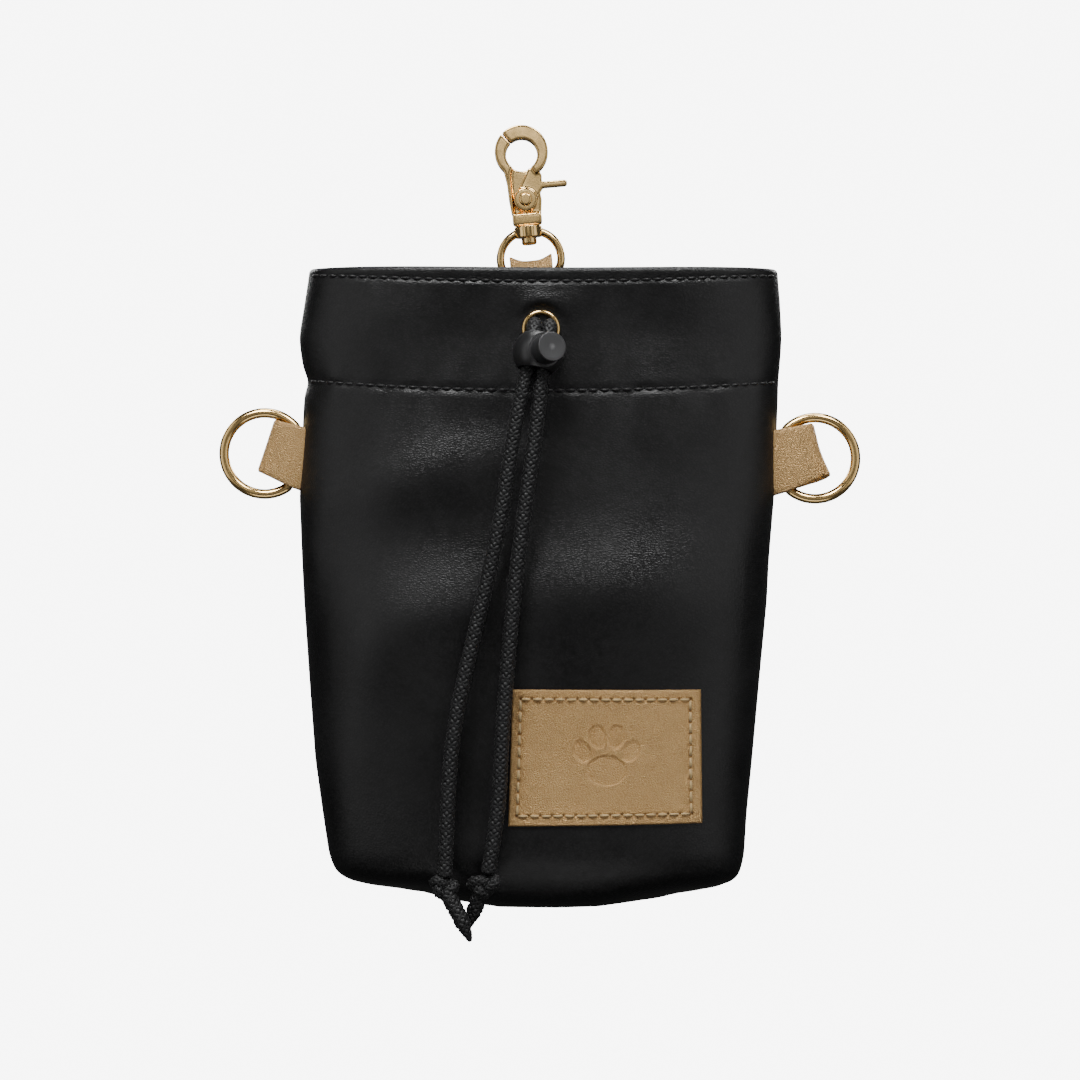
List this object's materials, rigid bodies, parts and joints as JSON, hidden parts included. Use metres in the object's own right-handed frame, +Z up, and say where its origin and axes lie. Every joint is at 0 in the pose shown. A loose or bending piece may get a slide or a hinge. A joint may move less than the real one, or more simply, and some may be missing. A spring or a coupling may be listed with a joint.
{
  "type": "treat pouch",
  "caption": "Drawstring treat pouch in pebbled faux leather with cord lock, side D-rings, stitched label and swivel snap hook",
  "frame": {"origin": "centre of the hole in the snap hook's ring, where the pouch hangs", "axes": "+Z up along the pouch's height, +Y towards the back, so the front faces -Y, +X to the right as seen from the front"},
  "size_m": [0.1833, 0.0668, 0.2337],
  "materials": {
    "black_leather": "pebble grain, soft satin",
    "gold_leather": "fine grain with a metallic sheen",
    "gold_metal": "polished pale gold plating",
    "lock_plastic": "moulded satin",
    "button_plastic": "moulded satin",
    "cord_fabric": "braided polyester",
    "lining_fabric": "plain woven",
    "spring_steel": "drawn wire"
  },
  "bodies": {
    "clip": {"clip_body": "gold_metal", "clip_rivet": "gold_metal", "swivel_post": "gold_metal", "clip_spring": "spring_steel"},
    "trigger": {"clip_trigger": "gold_metal"},
    "eye": {"clip_eye": "gold_metal"},
    "pouch": {"front_panel": "black_leather", "back_panel": "black_leather", "mouth_facing": "black_leather", "lining": "lining_fabric", "eyelet": "gold_metal", "eyelet_washer": "gold_metal", "left_strap": "gold_leather", "right_strap": "gold_leather", "back_strap": "gold_leather", "label_patch": "gold_leather", "drawstring_loop": "cord_fabric", "drawstring_left": "cord_fabric", "drawstring_right": "cord_fabric", "left_knot": "cord_fabric", "right_knot": "cord_fabric", "left_tail": "cord_fabric", "right_tail": "cord_fabric"},
    "ring_left": {"left_ring": "gold_metal"},
    "ring_right": {"right_ring": "gold_metal"},
    "cord_lock": {"lock_body": "lock_plastic", "lock_spring": "spring_steel"},
    "push_button": {"lock_button": "button_plastic"}
  },
  "joints": [
    {"name": "trigger_open", "type": "hinge", "parent": "clip", "child": "trigger", "pos_m": [0.00117, 0, -0.01315], "axis": [0, 1, 0], "range_deg": [0, 28], "stiffness_Nm_per_rad": 0.03, "springref_deg": -17.19, "deforming": ["clip_spring"]},
    {"name": "eye_swivel", "type": "hinge", "parent": "clip", "child": "eye", "pos_m": [0.0031, 0, -0.03476], "axis": [-0.0889, 0, 0.996], "continuous": true},
    {"name": "pouch_swing", "type": "hinge", "parent": "eye", "child": "pouch", "pos_m": [0.0031, 0, -0.03476], "axis": [0.996, 0, 0.0889], "range_deg": [-25, 60]},
    {"name": "left_ring_swing", "type": "hinge", "parent": "pouch", "child": "ring_left", "pos_m": [-0.06525, -0.022, -0.08892], "axis": [0.1392, 0, 0.9903], "range_deg": [-75, 75]},
    {"name": "right_ring_swing", "type": "hinge", "parent": "pouch", "child": "ring_right", "pos_m": [0.07587, -0.022, -0.08958], "axis": [-0.0523, 0, 0.9986], "range_deg": [-75, 75]},
    {"name": "lock_slide", "type": "slide", "parent": "pouch", "child": "cord_lock", "axis": [-0.149, 0, -0.9888], "range_m": [0, 0.03], "deforming": ["drawstring_left", "drawstring_right"]},
    {"name": "button_press", "type": "slide", "parent": "cord_lock", "child": "push_button", "axis": [-0.3857, 0.9132, -0.1316], "range_m": [0, 0.0012], "stiffness_N_per_m": 1200, "springref_m": -0.0008, "deforming": ["lock_spring"]}
  ]
}
